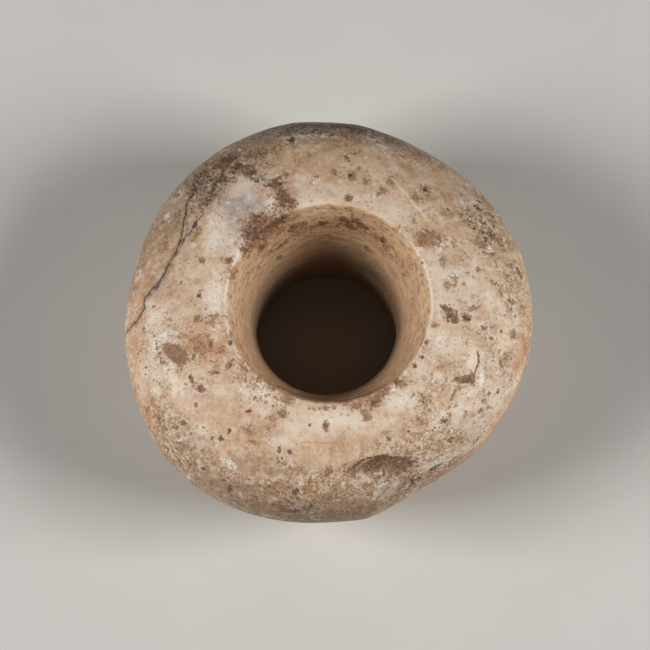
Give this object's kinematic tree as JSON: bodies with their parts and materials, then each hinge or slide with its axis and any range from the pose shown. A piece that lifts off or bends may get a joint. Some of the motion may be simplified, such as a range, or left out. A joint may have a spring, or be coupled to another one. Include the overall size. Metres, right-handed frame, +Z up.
{
  "type": "perforated stone",
  "caption": "Thick rounded pale stone, ground smooth and drilled through from both faces, with a flaring mouth, a narrower waist and a worn, stained and chipped surface.",
  "frame": {"origin": "middle of the stone's length and width, on the face that it rests on", "axes": "+Z up along the drilled hole, out of its wider mouth; +X to the right and +Y away from the camera in the picture"},
  "size_m": [0.088, 0.088, 0.0419],
  "materials": {
    "stone": "pale buff stone, ground smooth and worn, with brown-stained pits, a dark crack and a browner hole"
  },
  "bodies": {
    "root": {"perforated_stone": "stone"}
  },
  "joints": []
}
